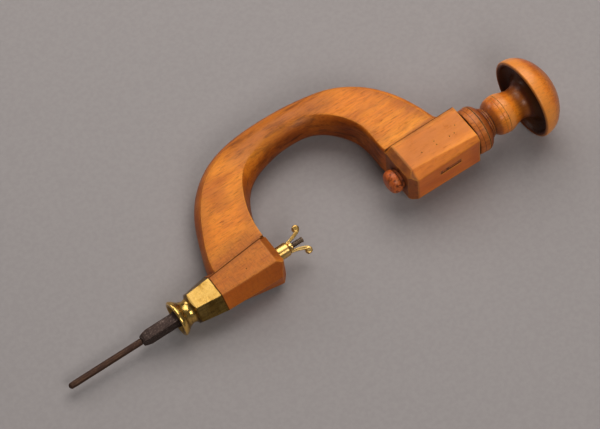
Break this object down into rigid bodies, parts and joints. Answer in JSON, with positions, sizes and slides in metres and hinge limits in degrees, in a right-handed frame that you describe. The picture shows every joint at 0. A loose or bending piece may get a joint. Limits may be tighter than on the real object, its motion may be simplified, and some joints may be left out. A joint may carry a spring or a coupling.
{
  "type": "wooden bow brace with split chuck",
  "caption": "Hand brace: boxwood bow with mushroom breast pad on a turning spindle, brass flared ferrule, split jaws drawn in by a wing nut, and a plain round bit.",
  "frame": {"origin": "on the turning axis, in the plane of the chuck's brass mouth", "axes": "+X along the turning axis from the bit to the breast pad, +Y in the plane of the bow towards the grip, +Z square to the bow"},
  "size_m": [0.4797, 0.1508, 0.0732],
  "materials": {
    "boxwood": "old waxed boxwood, satin",
    "redwood": "dark reddish hardwood, waxed",
    "brass": "aged polished brass",
    "iron": "dark wrought iron",
    "steel": "rust-browned steel",
    "leather": "dark oiled leather"
  },
  "bodies": {
    "frame": {"stock": "boxwood", "chuck_ferrule": "brass", "ferrule_pin": "iron", "foot_bush": "brass", "retaining_key": "redwood", "thrust_washer": "leather"},
    "head": {"head_knob": "boxwood", "head_collar": "boxwood", "head_spindle": "redwood", "spindle_button": "redwood", "button_pin": "iron"},
    "nut": {"wing_nut": "brass"},
    "rod": {"draw_rod": "iron", "jaw_pin": "iron", "jaw_spring": "steel"},
    "upper_jaw": {"jaw_upper": "iron"},
    "lower_jaw": {"jaw_lower": "iron"},
    "bit": {"bit": "steel"}
  },
  "joints": [
    {"name": "head_spin", "type": "hinge", "parent": "frame", "child": "head", "pos_m": [0.255, 0, 0], "axis": [1, 0, 0], "continuous": true},
    {"name": "wing_nut_turn", "type": "hinge", "parent": "frame", "child": "nut", "pos_m": [0.104, 0, 0], "axis": [1, 0, 0], "range_deg": [0, 1440]},
    {"name": "draw_rod_slide", "type": "slide", "parent": "frame", "child": "rod", "axis": [1, 0, 0], "range_m": [-0.006, 0]},
    {"name": "jaw_upper_open", "type": "hinge", "parent": "rod", "child": "upper_jaw", "pos_m": [0.027, 0, 0], "axis": [0, 1, 0], "range_deg": [0, 1.5]},
    {"name": "jaw_lower_open", "type": "hinge", "parent": "rod", "child": "lower_jaw", "pos_m": [0.027, 0, 0], "axis": [0, -1, 0], "range_deg": [0, 1.5]},
    {"name": "bit_pull", "type": "slide", "parent": "rod", "child": "bit", "axis": [-1, 0, 0], "range_m": [0, 0.06]}
  ],
  "couplings": [
    {"joint": "wing_nut_turn", "follows": "draw_rod_slide", "rad_per_m": -4188.8},
    {"joint": "jaw_upper_open", "follows": "draw_rod_slide", "rad_per_m": -4.3633},
    {"joint": "jaw_lower_open", "follows": "draw_rod_slide", "rad_per_m": -4.3633}
  ]
}
